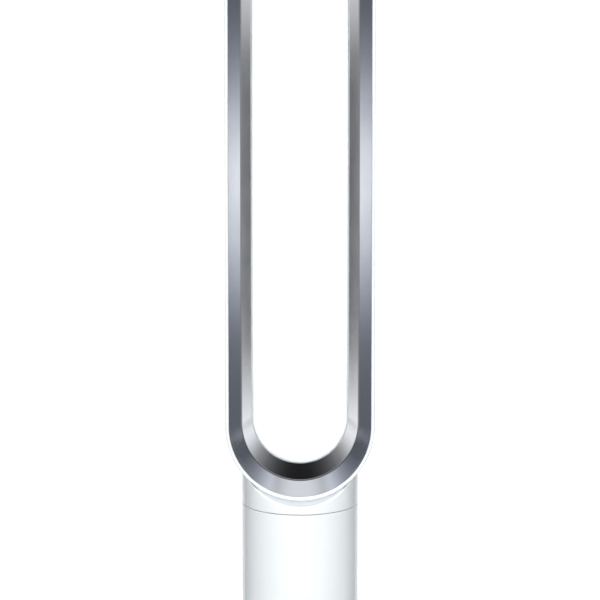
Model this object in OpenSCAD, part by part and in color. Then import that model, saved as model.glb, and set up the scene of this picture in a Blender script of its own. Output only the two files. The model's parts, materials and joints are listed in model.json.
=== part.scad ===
// Tower fan: a tall hollow air loop on a round column that swings on a flat foot.
// The column holds a mixed-flow impeller; air leaves through a narrow mouth round the loop's rear edge.
// Millimetres, +Z up, origin on the floor at the middle of the foot, front towards -Y.

/* [Overall] */
// Height of the whole fan above the floor
overall_h = 1007; // [850:1:1250]
// Outside diameter of the column
column_d = 152; // [124:1:180]
// Outside diameter of the foot
foot_d = 222; // [200:1:300]

/* [Loop] */
// Width of the loop over its outer shell
loop_w = 190; // [180:1:240]
// Depth of the loop from its front edge to its rear nose
loop_depth = 110; // [96:1:140]
// Distance of the loop's front edge ahead of the column's axis
loop_front = 50; // [40:1:60]
// Radial depth of the loop's section, from the outer shell to the throat
section_w = 29.2; // [26:0.1:36]
// Radial distance from the outer shell to the crease between the two silver pieces
crease_in = 19.6; // [15:0.1:22]
// Distance of the crease behind the front edge
crease_back = 34; // [25:1:45]
// Width of the white rim round the front edge
rim_w = 4.4; // [3:0.1:6]
// Skin thickness of the loop's pieces
skin = 1.8; // [1.5:0.1:2.2]
// Width of the air mouth
mouth_w = 1.4; // [1:0.1:2]
// Height of the loop's lowest point above the seam under the neck
loop_lift = 12; // [8:1:30]

/* [Column] */
// Height of the control casing
casing_h = 36.5; // [34:0.5:60]
// Height of the inlet grille
grille_h = 48; // [40:1:80]
// Height of the smooth body shell
shell_h = 132; // [104:1:170]
// Wall of the casing, shell and neck
wall = 2.5; // [2:0.1:3]
// Width of the seam line under the neck
seam_gap = 0.8; // [0.5:0.1:1.5]
// Number of slots round the inlet grille
grille_slots = 36; // [24:1:40]
// Diameter of the power button
button_d = 13; // [10:0.5:13]
// Inward travel of the power button
button_travel = 1; // [0.5:0.1:1.5]

/* [Foot] */
// Height of the foot's top face
foot_h = 14; // [14:0.5:20]
// Running gap between the foot and the column
turn_gap = 1.5; // [1:0.1:3]
// Radius of the pivot bore
pivot_r = 20; // [18:0.5:22]
// Radius of the bore for the cord
cord_r = 2.9; // [2:0.1:2.9]

/* [Swing gear] */
// Gear module
gear_m = 1.25; // [1:0.05:1.3]
// Teeth on a full circle of the fixed rack
rack_teeth = 56; // [52:4:60]
// Teeth on the pinion
pinion_teeth = 12; // [12:1:14]
// Swing to each side that the rack is long enough for
swing = 35; // [20:1:40]

/* [Fan] */
// Number of impeller blades
blades = 9; // [5:1:11]
// Number of diffuser vanes
vanes = 11; // [7:1:13]
// Radius of the motor's housing
bucket_r = 34; // [32:0.5:36]
// Radius of the motor shaft
shaft_r = 3; // [2.5:0.1:3.5]

/* [Hidden] */
$fn = 96;
fit = 0.2;          // gap of a still fit
run = 0.05;         // radial clearance of a running fit
press = 0.02;       // radial gap left at a press fit
eps = 0.01;         // how far a cut runs past a face

// heights up the fan
pad_h = 1.5;
cover_h = 2;
gland_h = 7.4;
z_cover = pad_h + cover_h;
z_gland = pad_h + 0.2 + gland_h / 2;
gland_w = 6;         // half width of the cord's gland
z_casing = foot_h + turn_gap;
z_grille = z_casing + casing_h;
z_shell = z_grille + grille_h;
z_seam = z_shell + shell_h;
z_loop = z_seam + loop_lift;

// radii of the column and foot
col_r = column_d / 2;
col_in = col_r - wall;
foot_r = foot_d / 2;
cover_edge = foot_r - 4;

// the loop's section: X is the distance from its middle line, Y is depth
loop_r = loop_w / 2;
y_front = -loop_front;
y_rear = loop_depth - loop_front;
z_low = z_loop + loop_r;
z_high = overall_h - loop_r;
throat_r = loop_r - section_w;
crease_r = loop_r - crease_in;
y_crease = y_front + crease_back;
lip_r = throat_r - mouth_w - skin;
nose_r = (loop_r - lip_r) / 2;
nose_x = loop_r - nose_r;
nose_y = y_rear - nose_r;
y_rim = y_front + rim_w / 2;
rim_back = 2.4;      // depth of the rim behind its round front
lip_len = 5;
bead_r = 3;
groove = 0.8;        // width of the dark line at the crease

// the neck's saddle
gasket_h = 1.8;
saddle_r = loop_r + gasket_h;
duct_x = 38;         // half width of the air opening into the loop
duct_y0 = -30;
duct_y1 = 36;

// swing gear
addendum = 0.7;
dedendum = 0.95;
backlash = 0.3;
pressure = 20;
rack_r = gear_m * rack_teeth / 2;
pinion_r = gear_m * pinion_teeth / 2;
gear_c = rack_r + pinion_r;
boss_r = pivot_r + 7;
recess_r = gear_c + pinion_r + 6;
z_recess = 8;
rack_h = 4.5;
cover_screw = boss_r + 18;
post_r = 4.5;
shaft2_r = 2.5;      // radius of the swing gear's shaft

// fan duct, outside to inside
duct_gap = 9.5;
duct_r = col_in - duct_gap;
eye_r = duct_r - 14;
duct_wall = 2;
tip_gap = 1;
hub_r0 = 12;
z_eye = z_shell + 8;
z_imp0 = z_shell + 11;
imp_h = 28;
z_imp1 = z_imp0 + imp_h;
z_bucket = z_imp1 + 3;
z_bridge = z_bucket + 29;
z_duct_top = z_seam - 12;
bearing_h = 5;
bearing_r = 8;
rotor_r = 10.5;
rotor_h = 16;
stator_r = 24;
z_rotor = z_bucket + 9.5;
vane_z0 = z_bucket + 4;
vane_z1 = z_bucket + 26;

// ---- shared shapes ----

// A tube from z0 to z1
module tube(ro, ri, z0, z1) {
    translate([0, 0, z0]) difference() {
        cylinder(r = ro, h = z1 - z0);
        translate([0, 0, -1]) cylinder(r = ri, h = z1 - z0 + 2);
    }
}

// A box given by its lowest and highest corners
module box(a, b) {
    translate(a) cube(b - a);
}

// A round bar along Y, from y0 to y1
module bar_y(r, y0, y1) {
    translate([0, y0, 0]) rotate([-90, 0, 0]) cylinder(r = r, h = y1 - y0);
}

// Copies of the children turned round Z
module around(n, first = 0) {
    for (i = [0 : n - 1]) rotate([0, 0, first + i * 360 / n]) children();
}

// One end of the loop, from a section drawn in the XY plane
module loop_end() {
    rotate([-90, 0, 0]) rotate_extrude(angle = 180) children();
}

module both_ends() {
    translate([0, 0, z_low]) loop_end() children();
    translate([0, 0, z_high]) rotate([0, 180, 0]) loop_end() children();
}

// The whole racetrack: two straight limbs and two half-round ends
module loop_sweep() {
    for (side = [0, 1]) mirror([side, 0, 0])
        translate([0, 0, z_low]) linear_extrude(z_high - z_low) children();
    both_ends() children();
}

// A round bar along Y about the centre of the loop's lower end
module low_bar(r) {
    translate([0, 0, z_low]) bar_y(r, -foot_r, foot_r);
}

// ---- the loop's sections ----

// X of the front ring's visible face at depth y
function ring_x(y) = loop_r - rim_w - fit
    + (crease_r - loop_r + rim_w + fit) * (y - y_rim) / (y_crease - y_rim);

// Where the line from p touches a circle on its low-X side
function touch_point(p, c, r) =
    let (v = p - c, a = atan2(v.y, v.x) - acos(r / norm(v)))
    c + r * [cos(a), sin(a)];

module outer_section() {
    translate([loop_r - rim_w / 2, y_rim]) circle(r = rim_w / 2);
    translate([loop_r - rim_w, y_rim]) square([rim_w, rim_back]);
    translate([loop_r - skin, y_rim]) square([skin, nose_y - y_rim]);
    intersection() {
        difference() {
            translate([nose_x, nose_y]) circle(r = nose_r);
            translate([nose_x, nose_y]) circle(r = nose_r - skin);
        }
        translate([nose_x - nose_r, nose_y]) square([2 * nose_r, nose_r]);
    }
    translate([lip_r, nose_y - lip_len]) square([skin, lip_len]);
}

module ring_section() {
    flange_y = y_rim + rim_back;
    flange_x = loop_r - skin - fit;
    slant = 2 * fit + skin;
    polygon([
        [ring_x(y_rim), y_rim], [crease_r, y_crease], [crease_r + slant, y_crease],
        [ring_x(flange_y + skin) + slant, flange_y + skin], [flange_x, flange_y + skin],
        [flange_x, flange_y], [ring_x(y_rim), flange_y]
    ]);
}

module casing_section() {
    edge = [crease_r - 0.3, y_crease + groove];
    bead = [throat_r + bead_r, nose_y - 2];
    touch = touch_point(edge, bead, bead_r);
    translate(bead) circle(r = bead_r);
    polygon([edge, touch, bead, touch + [skin + 0.4, 0], edge + [skin, 0]]);
    // tongue that the front ring's rear edge rests on
    polygon([edge + [1, 0], edge + [1.4, 0], [crease_r + 1.2, y_crease],
             [crease_r + 3.6, y_crease], [crease_r + 3.6, y_crease + 2.6], edge + [0.9, 1.8]]);
}

// ---- gears ----

function inv_deg(a) = tan(a) * 180 / PI - a;

// Half angle of a tooth at radius r, for a gear of n teeth
function half_tooth(n, r) =
    let (rp = gear_m * n / 2, rb = rp * cos(pressure))
    90 / n - backlash / 4 / rp * 180 / PI + inv_deg(pressure) - (r > rb ? inv_deg(acos(rb / r)) : 0);

// One tooth pointing along +X, with involute flanks
module tooth(n) {
    rp = gear_m * n / 2;
    r0 = rp - dedendum * gear_m;
    r1 = rp + addendum * gear_m;
    steps = 5;
    foot_y = r0 * sin(half_tooth(n, r0));
    right = [for (i = [1 : steps]) let (r = r0 + (r1 - r0) * i / steps, a = half_tooth(n, r))
        [r * cos(a), -r * sin(a)]];
    left = [for (i = [steps - 1 : -1 : 0]) [right[i].x, -right[i].y]];
    polygon(concat([[r0 - 0.5, -foot_y]], right, left, [[r0 - 0.5, foot_y]]));
}

// ---- stand ----

module foot_pad_ring() {
    color("#3a3b3d") tube(foot_r - 9, foot_r - 19, 0, pad_h);
}

module foot_bottom_cover() {
    color("#d9dbdc") difference() {
        tube(cover_edge, 12, pad_h, z_cover);
        around(4, 45) translate([cover_screw, 0, 0]) cylinder(r = 1.8, h = z_cover + 1);
        box([-gland_w - fit, foot_r - 12, 0], [gland_w + fit, foot_r, z_cover + 1]);
    }
}

module foot_plate() {
    edge = 4.25;                    // radius of the foot's rounded edge
    flat_r = col_r + 6;             // where the top starts to slope down
    skirt_r = foot_r - 8;           // inside of the rim
    skirt_top = 7;                  // underside of the sloping top at the rim
    web = 3.5;                      // thickness of the top
    hub_z = 6.1;                    // underside of the hub round the pivot bore
    well_wall = 3;
    color("#f1f3f3") difference() {
        union() {
            rotate_extrude() difference() {
                union() {
                    polygon([[pivot_r, hub_z], [boss_r, hub_z], [boss_r, hub_z - 0.1],
                             [recess_r + well_wall, hub_z - 0.1], [recess_r + well_wall, z_cover],
                             [foot_r - edge, pad_h], [foot_r - edge, pad_h + 2 * edge],
                             [flat_r, foot_h], [pivot_r, foot_h]]);
                    translate([foot_r - edge, pad_h + edge]) circle(r = edge);
                    translate([foot_r - edge, pad_h]) square(edge);
                }
                translate([0, -eps]) square([cover_edge + fit, z_cover + eps]);
                polygon([[recess_r + well_wall, z_cover - eps], [skirt_r, z_cover - eps],
                         [skirt_r, skirt_top], [flat_r, foot_h - web], [recess_r + well_wall, foot_h - web]]);
                translate([boss_r, z_recess]) square([recess_r - boss_r, foot_h]);
            }
            around(4, 45) translate([cover_screw, 0, z_cover]) cylinder(r = 4, h = 3);
        }
        around(4, 45) translate([cover_screw, 0, 0]) cylinder(r = 1.55, h = 7);
        box([-gland_w - fit, foot_r - 12, pad_h - eps],
            [gland_w + fit, foot_r + 1, z_gland + gland_h / 2 + fit]);
    }
}

module ballast_ring() {
    color("#8b8e91") tube(foot_r - 12.5, recess_r + 4, z_cover, z_cover + 3);
    color("#8b8e91") tube(col_r + 4, recess_r + 4, z_cover, 9.8);
}

module foot_screws() {
    color("#9da0a3") around(4, 45) translate([cover_screw, 0, 0]) {
        translate([0, 0, 0.4]) cylinder(r = 3.2, h = pad_h - 0.4);
        translate([0, 0, 0.4]) cylinder(r = 1.5, h = 6.3);
    }
}

module turntable_ring() {
    color("#e8e6dd") tube(recess_r + 8, recess_r + 2, foot_h, z_casing - run);
}

module oscillation_rack() {
    pitch = 360 / rack_teeth;
    count = 2 * ceil((swing + 12) / pitch);
    root = rack_r - dedendum * gear_m;
    span = count * pitch;
    color("#e4e2d8") translate([0, 0, z_recess]) linear_extrude(rack_h) {
        intersection() {
            difference() {
                circle(r = root);
                circle(r = boss_r + fit);
            }
            polygon([[0, 0], for (i = [0 : 8]) 2 * root * [cos(90 + span * (i / 8 - 0.5)),
                                                         sin(90 + span * (i / 8 - 0.5))]]);
        }
        for (i = [0 : count - 1]) rotate(90 + (i + 0.5 - count / 2) * pitch) tooth(rack_teeth);
    }
}

module cord_gland() {
    color("#4a4c4e") intersection() {
        difference() {
            box([-gland_w, foot_r - 11.6, z_gland - gland_h / 2], [gland_w, foot_r, z_gland + gland_h / 2]);
            translate([0, 0, z_gland]) bar_y(cord_r, foot_r - 20, foot_r + 5);
        }
        cylinder(r = foot_r - 0.2, h = foot_h);
    }
}

// ---- control casing and what it holds ----

key_flange = 1.3;               // how far the button's flange reaches past its face
z_button = z_casing + wall + button_d / 2 + 1.5;
z_window = z_button + 15;
window_w = 12;
window_h = 5;
board_y = -(col_in - 17);
button_tip = -(col_in - 8.5);    // where the button's stem ends at rest
stem_r = 2.2;
lid_z = z_grille - 2.5;
post_x = col_in - 4;             // posts that the lid is screwed to
spigot_in = 15;
z_spigot = 5.8;
spigot_screw = (spigot_in + pivot_r) / 2;

module lower_casing() {
    color("#f4f6f6") difference() {
        union() {
            rotate_extrude() polygon([
                [spigot_in, z_spigot], [pivot_r - run, z_spigot], [pivot_r - run, z_casing],
                [col_r - 1, z_casing], [col_r, z_casing + 1], [col_r, z_grille], [col_in, z_grille],
                [col_in, z_casing + wall], [spigot_in, z_casing + wall]
            ]);
            around(4, 45) translate([post_x, 0, z_casing + 1]) cylinder(r = post_r, h = lid_z - z_casing - 1);
        }
        translate([0, gear_c, z_casing - 1]) cylinder(r = 4, h = wall + 2);
        box([-window_w, -col_r - 1, z_window - window_h], [window_w, -col_in + 4, z_window + window_h]);
        translate([0, 0, z_button]) bar_y(button_d / 2 + fit, -col_r - 1, -col_in + 5);
        around(4, 45) translate([post_x, 0, lid_z - 10]) cylinder(r = 1.3, h = 12);
        around(3) translate([spigot_screw, 0, 0]) cylinder(r = 1.2, h = z_spigot + 7);
    }
}

module pivot_retainer() {
    color("#a7aaad") difference() {
        tube(pivot_r + 4, 12, z_cover + 0.7, z_spigot);
        around(3) translate([spigot_screw, 0, 0]) cylinder(r = 1.4, h = 8);
    }
}

module retainer_screws() {
    color("#9da0a3") around(3) translate([spigot_screw, 0, 0]) {
        translate([0, 0, z_cover + 0.1]) cylinder(r = 2.3, h = 0.6);
        translate([0, 0, z_cover + 0.1]) cylinder(r = 1.15, h = 8.5);
    }
}

module oscillation_motor() {
    z0 = z_casing + wall;
    color("#b4b6b8") difference() {
        union() {
            translate([0, gear_c, z0]) cylinder(r = min(22, col_in - gear_c - 3), h = 14);
            translate([0, gear_c, z0 + 13]) cylinder(r = 8, h = 3);
        }
        translate([0, gear_c, z0 - 1]) cylinder(r = shaft2_r + run, h = 7);
    }
}

module control_board() {
    color("#3f6b4a") box([-30, board_y, z_casing + wall], [30, board_y + 1.6, lid_z - 3]);
}

module display_module() {
    color("#26282b") box([-11, board_y - 5, z_window - 4.5], [11, board_y, z_window + 4.5]);
}

module button_switch() {
    color("#2e3033") translate([0, 0, z_button]) {
        box([-3, board_y - 3.5, -3], [3, board_y, 3]);
        bar_y(1.7, button_tip + button_travel + 0.1, board_y - 3);
    }
}

module display_window() {
    flange = 1.2;
    color("#1d1f22") {
        intersection() {
            tube(col_r, col_in - 1.7, z_casing, z_grille);
            box([-window_w + fit, -col_r, z_window - window_h + fit],
                [window_w - fit, 0, z_window + window_h - fit]);
        }
        intersection() {
            tube(col_in - 0.1, col_in - 1.7, z_casing, z_grille);
            box([-window_w - flange, -col_r, z_window - window_h - flange],
                [window_w + flange, 0, z_window + window_h + flange]);
        }
    }
}

module compartment_lid() {
    color("#d5d7d8") difference() {
        tube(col_in - fit, 8, lid_z, z_grille);
        around(4, 45) translate([post_x, 0, lid_z - 1]) cylinder(r = 1.6, h = 5);
    }
}

module lid_screws() {
    color("#9da0a3") around(4, 45) translate([post_x, 0, 0]) {
        translate([0, 0, z_grille]) cylinder(r = 2.6, h = 1.4);
        translate([0, 0, z_grille - 11]) cylinder(r = 1.25, h = 11.5);
    }
}

module power_button() {
    color("#e9ebec") {
        intersection() {
            translate([0, 0, z_button]) bar_y(button_d / 2, -col_r - 1, -col_in + 3);
            cylinder(r = col_r, h = z_grille);
        }
        translate([0, 0, z_button]) {
            bar_y(button_d / 2 + key_flange, -col_in + 1.4, -col_in + 3);
            bar_y(stem_r, -col_in + 2, button_tip);
        }
    }
}

// ---- column ----

module inlet_grille() {
    bar_z = 7;                      // plain band above and below the slots
    color("#eceeee") difference() {
        union() {
            tube(col_r, col_r - 2, z_grille, z_shell);
            tube(col_r - 1, duct_r + 2, z_shell - 2, z_shell);
        }
        around(grille_slots) box([-3, -col_r - 1, z_grille + bar_z], [3, -col_r + 3, z_shell - bar_z]);
    }
}

module silencing_foam() {
    color("#5a5c5f") tube(duct_r - 4, 20, z_grille, z_grille + 9);
}

module body_shell() {
    color("#f6f8f8") tube(col_r, col_in, z_shell, z_seam - seam_gap / 2);
}

module isolator_ring() {
    color("#3a3b3d") tube(col_in - 0.5, duct_r + 3, z_shell, z_shell + 2);
}

module impeller_housing() {
    z0 = z_shell + 2;
    color("#c9cccd") rotate_extrude() polygon([
        [eye_r + 6, z0], [col_in - 0.5, z0], [col_in - 0.5, z0 + duct_wall], [eye_r + 8, z0 + duct_wall],
        [eye_r + duct_wall, z_eye + 1], [duct_r + duct_wall, z_imp1 - 2], [duct_r + duct_wall, z_duct_top],
        [duct_r, z_duct_top], [duct_r, vane_z0], [duct_r - 1.6, vane_z0], [duct_r - 1.6, vane_z0 - 2],
        [duct_r, vane_z0 - 3], [duct_r, z_imp1], [eye_r, z_eye], [eye_r + 1.5, z_eye - 3]
    ]);
}

module housing_seal() {
    color("#3a3b3d") tube(col_in - 0.1, duct_r + duct_wall + 0.1, z_duct_top - 9, z_duct_top - 4);
}

module diffuser() {
    rim_o = duct_r - fit;
    color("#bfc3c4") {
        tube(rim_o, rim_o - 1.6, vane_z0, vane_z1);
        tube(bucket_r + 1.8, bucket_r + fit, vane_z0, vane_z1);
        intersection() {
            tube(rim_o - 0.8, bucket_r + 0.8, vane_z0, vane_z1);
            around(vanes) translate([0, 0, (vane_z0 + vane_z1) / 2]) rotate([24, 0, 0])
                box([bucket_r, -0.8, -16], [rim_o, 0.8, 16]);
        }
    }
}

module motor_bucket() {
    color("#d5d7d8") {
        tube(bucket_r, bucket_r - 2, z_bucket, z_bridge);
        tube(bucket_r - 1, shaft_r + 1, z_bucket, z_bucket + 2.5);
        tube(bearing_r + 3, bearing_r + run, z_bucket + 2, z_bucket + 2.5 + bearing_h);
        tube(bucket_r + 1.8, bucket_r - 1, vane_z1, z_bridge);
        around(4) box([stator_r + fit, -1, z_rotor], [bucket_r - 1, 1, z_rotor + rotor_h]);
    }
}

module bearing_bridge() {
    color("#b4b6b8") {
        tube(bucket_r, shaft_r + 1, z_bridge, z_bridge + 2.5);
        tube(bearing_r + 3, bearing_r + run, z_bridge + 2, z_bridge + 2.5 + bearing_h);
    }
}

module motor_cap() {
    z0 = z_bridge + 2.5;
    color("#d5d7d8") rotate_extrude() polygon([
        [bucket_r - 2, z0], [bucket_r, z0], [bucket_r - 6, z0 + 9], [10, z0 + 17], [4, z0 + 17],
        [4, z0 + 15], [9, z0 + 15], [bucket_r - 8, z0 + 8]
    ]);
}

module motor_stator() {
    color("#7d8083") translate([0, 0, z_rotor]) linear_extrude(rotor_h) {
        difference() {
            circle(r = stator_r);
            circle(r = stator_r - 4);
        }
        for (i = [0 : 3]) rotate(i * 90 + 45) translate([rotor_r + 0.8, -3]) square([stator_r - rotor_r - 3, 6]);
    }
}

module stator_coils() {
    color("#b87333") translate([0, 0, z_rotor + 1]) around(4, 45)
        for (side = [-1, 1]) translate([rotor_r + 3, side * 4.6 - 1.5, 0]) cube([5.5, 3, rotor_h - 2]);
}

module shaft_bearings() {
    color("#c8cacc") for (z = [z_bucket + 2.5, z_bridge + 2.5])
        tube(bearing_r, shaft_r + run, z, z + bearing_h - 0.5);
}

module motor_driver_board() {
    z0 = z_bridge + 2.5 + bearing_h;
    color("#3f6b4a") tube(bucket_r - 14, bearing_r + 1, z0, z0 + 1.6);
}

module neck_seal() {
    color("#3a3b3d") tube(duct_r + 6, duct_r, z_duct_top, z_duct_top + 4);
}

spigot_r = duct_r + 6.5;
tab_h = 2;

module bayonet_ring() {
    z0 = z_duct_top + 3;
    color("#c9cccd") {
        tube(col_in - 0.1, col_in - 1.2, z0, z_seam - seam_gap);
        around(3) intersection() {
            tube(col_in - 0.8, spigot_r + fit, z0 + 4, z0 + 6.3);
            rotate(-20) box([0, 0, z0], [col_r, col_r, z0 + 9]);
        }
    }
}

module neck() {
    z0 = z_seam + seam_gap / 2;
    z1 = z_low;
    z_tab = z_duct_top + 4;
    color("#f8fafa") {
        difference() {
            translate([0, 0, z0]) cylinder(r = col_r, h = z1 - z0);
            low_bar(saddle_r);
            difference() {
                translate([0, 0, z0 - 1]) cylinder(r = col_in, h = z1 - z0 + 2);
                low_bar(saddle_r + wall);
            }
            box([-duct_x, duct_y0, z0 - 1], [duct_x, duct_y1, z1]);
        }
        tube(spigot_r, spigot_r - wall, z_tab, z0 + 1);
        tube(col_r - 0.6, spigot_r - wall, z0, z0 + wall - 1);
        around(3) intersection() {
            tube(col_in - 1.5, spigot_r - 1, z_tab, z_tab + tab_h);
            rotate(-20) box([0, 0, z_tab - 1], [col_r, col_r, z_tab + 9]);
        }
    }
}

module saddle_gasket() {
    color("#a9adb0") difference() {
        intersection() {
            low_bar(saddle_r);
            translate([0, 0, z_loop - 5]) cylinder(r = col_in - 2, h = loop_r);
            box([-col_r, y_front + 3, 0], [col_r, nose_y, z_low]);
        }
        low_bar(loop_r);
        box([-duct_x - 2, duct_y0 - 2, z_seam], [duct_x + 2, duct_y1 + 2, z_low]);
    }
}

// ---- loop ----

module loop_outer_shell() {
    color("#f8fafa") difference() {
        loop_sweep() outer_section();
        box([-duct_x, duct_y0, z_seam], [duct_x, duct_y1, z_loop + 12]);
    }
}

module loop_front_ring() {
    color("#b9bdc4") loop_sweep() ring_section();
}

module loop_inner_casing() {
    color("#aeb2b8") loop_sweep() casing_section();
}

spacer_pitch = 75;

module slot_spacers() {
    rows = floor((z_high - z_low) / spacer_pitch);
    first = (z_low + z_high - (rows - 1) * spacer_pitch) / 2;
    color("#d5d7d8") for (side = [0, 1], i = [0 : rows - 1]) mirror([side, 0, 0])
        box([lip_r + skin, nose_y - 3, first + i * spacer_pitch - 1.5],
            [throat_r, nose_y - 1, first + i * spacer_pitch + 1.5]);
}

module slot_end_seals() {
    color("#d5d7d8") both_ends()
        translate([lip_r + skin + eps, nose_y - 3]) square([mouth_w - 2 * eps, 2]);
}

module flow_guide() {
    y0 = y_crease + 5.6;
    y1 = nose_y - 12;
    ri = crease_r + 4.2;
    ro = loop_r - skin - fit;
    color("#d5d7d8") {
        intersection() {
            translate([0, 0, z_low]) difference() {
                bar_y(ro, y0, y0 + 2);
                bar_y(ri, y0 - 1, y0 + 3);
            }
            box([-60, y0 - 1, z_loop - 5], [60, y0 + 3, z_low - 60]);
        }
        // splitter in the middle and two turning vanes each side of it
        translate([0, y1, z_loop]) rotate([90, 0, 0]) linear_extrude(y1 - y0 - 1)
            polygon([[0, 6], [7, 13.5], [-7, 13.5]]);
        for (a = [-34, -22, 22, 34]) translate([0, 0, z_low]) rotate([0, -a, 0])
            translate([0, 0, -(ri + ro) / 2]) rotate([0, a > 0 ? 35 : -35, 0])
                box([-0.8, y0 + 1, -6], [0.8, y1, 6]);
    }
}

// ---- impeller and its motor parts ----

function hub_x(z) = hub_r0 + (duct_r - 16 - hub_r0) * (z - z_imp0) / (z_imp1 - z_imp0);
function shroud_x(z) = eye_r - tip_gap + (duct_r - eye_r) * max(0, z - z_eye) / (z_imp1 - z_eye);

module impeller() {
    hub_z = z_imp1 - 3;
    bend = duct_r * 0.9;            // radius that the blades are bent to, seen from above
    blade = 1.6;                    // thickness of a blade
    color("#8f9498") difference() {
        union() {
            rotate_extrude() polygon([[0, z_imp0], [hub_r0, z_imp0], [hub_x(hub_z), hub_z],
                                      [hub_x(hub_z), z_imp1 - 1], [0, z_imp1 - 1]]);
            intersection() {
                rotate_extrude() polygon([[hub_r0 - 1, z_imp0 + 1], [shroud_x(z_imp0 + 1), z_imp0 + 1],
                                          [shroud_x(z_imp1 - 2), z_imp1 - 2], [hub_r0, z_imp1 - 2]]);
                around(blades) translate([0, bend, z_imp0]) difference() {
                    cylinder(r = bend + blade / 2, h = imp_h);
                    translate([0, 0, -1]) cylinder(r = bend - blade / 2, h = imp_h + 2);
                    translate([-3 * bend, -3 * bend, -1]) cube([3 * bend, 6 * bend, imp_h + 2]);
                    translate([-3 * bend, 0, -1]) cube([6 * bend, 3 * bend, imp_h + 2]);
                }
            }
        }
        translate([0, 0, z_imp0 - 1]) cylinder(r = shaft_r + press, h = 40);
    }
}

module motor_shaft() {
    color("#c8cacc") translate([0, 0, z_imp0 - 6]) cylinder(r = shaft_r, h = z_bridge + 8 - z_imp0 + 6);
}

module rotor_magnet() {
    color("#55585b") tube(rotor_r, shaft_r + press, z_rotor, z_rotor + rotor_h);
}

module impeller_nut() {
    color("#c8a860") difference() {
        translate([0, 0, z_imp0 - 5]) cylinder(r = 5.5, h = 5, $fn = 6);
        translate([0, 0, z_imp0 - 6]) cylinder(r = shaft_r + press, h = 7);
    }
}

module drive_pinion() {
    color("#e4e2d8") translate([0, gear_c, z_recess + 0.6]) linear_extrude(rack_h) difference() {
        union() {
            circle(r = pinion_r - dedendum * gear_m);
            for (i = [0 : pinion_teeth - 1]) rotate(270 + i * 360 / pinion_teeth) tooth(pinion_teeth);
        }
        circle(r = shaft2_r + press);
    }
}

module drive_shaft() {
    color("#c8cacc") translate([0, gear_c, z_recess + 0.6])
        cylinder(r = shaft2_r, h = z_casing + wall + 5 - z_recess);
}

foot_pad_ring();
foot_bottom_cover();
foot_plate();
ballast_ring();
foot_screws();
turntable_ring();
oscillation_rack();
cord_gland();
lower_casing();
pivot_retainer();
retainer_screws();
oscillation_motor();
control_board();
display_module();
button_switch();
display_window();
compartment_lid();
lid_screws();
inlet_grille();
silencing_foam();
body_shell();
isolator_ring();
impeller_housing();
housing_seal();
diffuser();
motor_bucket();
bearing_bridge();
motor_cap();
motor_stator();
stator_coils();
shaft_bearings();
motor_driver_board();
neck_seal();
bayonet_ring();
neck();
saddle_gasket();
loop_outer_shell();
loop_front_ring();
loop_inner_casing();
slot_spacers();
slot_end_seals();
flow_guide();
impeller();
motor_shaft();
rotor_magnet();
impeller_nut();
drive_pinion();
drive_shaft();
power_button();
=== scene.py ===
"""A tower fan with a tall hollow air loop, on a round column that swings on a flat foot."""
import json
import math

import bmesh
import bpy
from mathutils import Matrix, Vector


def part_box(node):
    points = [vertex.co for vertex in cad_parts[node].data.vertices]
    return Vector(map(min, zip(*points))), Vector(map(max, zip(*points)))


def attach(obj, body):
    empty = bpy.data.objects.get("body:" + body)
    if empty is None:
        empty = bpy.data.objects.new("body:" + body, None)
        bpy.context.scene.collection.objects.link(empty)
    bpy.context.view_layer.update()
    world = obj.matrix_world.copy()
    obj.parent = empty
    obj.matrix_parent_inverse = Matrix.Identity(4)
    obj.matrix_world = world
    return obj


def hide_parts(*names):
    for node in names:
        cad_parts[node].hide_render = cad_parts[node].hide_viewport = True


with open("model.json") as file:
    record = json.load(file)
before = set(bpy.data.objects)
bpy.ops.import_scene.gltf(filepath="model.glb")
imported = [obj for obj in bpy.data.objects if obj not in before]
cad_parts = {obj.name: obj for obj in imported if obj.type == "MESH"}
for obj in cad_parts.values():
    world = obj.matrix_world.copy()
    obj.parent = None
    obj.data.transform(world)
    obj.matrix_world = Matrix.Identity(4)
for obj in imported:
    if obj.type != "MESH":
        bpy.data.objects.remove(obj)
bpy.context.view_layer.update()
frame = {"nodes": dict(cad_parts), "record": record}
MM = 0.001

# ---------------------------------------------------------------------------------------------
# Camera: a long lens level with the lower third of the loop, looking slightly down, close enough
# that the loop's top and the column's foot run out of the frame.
eye_distance = 1541 * MM
eye_height = 598 * MM
eye_tilt_deg = 2.717
lens_mm = 70.9
sensor_mm = 36
view_shift = -0.035
camera = bpy.data.objects.new("camera", bpy.data.cameras.new("camera"))
bpy.context.scene.collection.objects.link(camera)
camera.location = (0, -eye_distance, eye_height)
camera.rotation_euler = (math.radians(90 - eye_tilt_deg), 0, 0)
camera.data.lens = lens_mm
camera.data.sensor_width = sensor_mm
camera.data.shift_y = view_shift
bpy.context.scene.camera = camera
bpy.context.scene.view_settings.view_transform = "Standard"


# ---------------------------------------------------------------------------------------------
# Studio: a seamless pale floor, a wide key light in front, and a surrounding tent whose cards
# give the lacquer its light and dark bands. Only the plain white of the tent is seen directly.
def srgb(hex_colour):
    """An sRGB hex colour as linear RGBA."""
    parts = [int(hex_colour[i:i + 2], 16) / 255 for i in (1, 3, 5)]
    return tuple(c / 12.92 if c <= 0.04045 else ((c + 0.055) / 1.055) ** 2.4 for c in parts) + (1,)


def add(tree, kind, settings=None, links=None):
    """Adds a node: settings are its properties, links fill its inputs by name or number."""
    made = tree.nodes.new(kind)
    for key, value in (settings or {}).items():
        setattr(made, key, value)
    for key, value in (links or {}).items():
        if isinstance(value, bpy.types.NodeSocket):
            tree.links.new(value, made.inputs[key])
        else:
            made.inputs[key].default_value = value
    return made


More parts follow.
